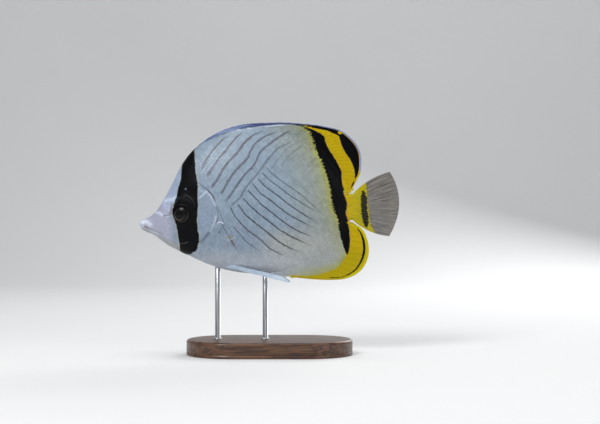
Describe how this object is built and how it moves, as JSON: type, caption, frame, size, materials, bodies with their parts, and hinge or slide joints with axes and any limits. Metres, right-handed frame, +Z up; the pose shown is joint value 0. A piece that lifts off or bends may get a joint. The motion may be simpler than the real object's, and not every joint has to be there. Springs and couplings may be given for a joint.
{
  "type": "butterflyfish model",
  "caption": "Life-size model of a vagabond butterflyfish with spread fins, held over a flat oval display base by slim rods.",
  "frame": {"origin": "middle of the underside of the display base, which is also the middle of the part's box", "axes": "-X towards the snout, +X towards the tail fin, -Y towards the fish's left side, +Z up"},
  "size_m": [0.15, 0.056, 0.1343],
  "materials": {
    "skin": "scaled skin, pale blue-grey with dark lines and black bands",
    "fin_yellow": "fin web and rays, yellow with black margins",
    "fin_clear": "thin clear to pale fin web with fine rays",
    "eye": "wet, glossy dark eye with a thin bronze ring",
    "base_wood": "dark oiled wood",
    "rod_steel": "brushed"
  },
  "bodies": {
    "root": {"head": "skin", "torso": "skin", "tail_stalk": "skin", "eye_left": "eye", "eye_right": "eye", "dorsal_fin_spiny": "fin_yellow", "dorsal_fin_soft": "fin_yellow", "anal_fin": "fin_yellow", "caudal_fin": "fin_clear", "pectoral_fin_left": "fin_clear", "pectoral_fin_right": "fin_clear", "pelvic_fin_left": "fin_clear", "pelvic_fin_right": "fin_clear", "stand_base": "base_wood", "stand_rod_front": "rod_steel", "stand_rod_rear": "rod_steel"}
  },
  "joints": []
}
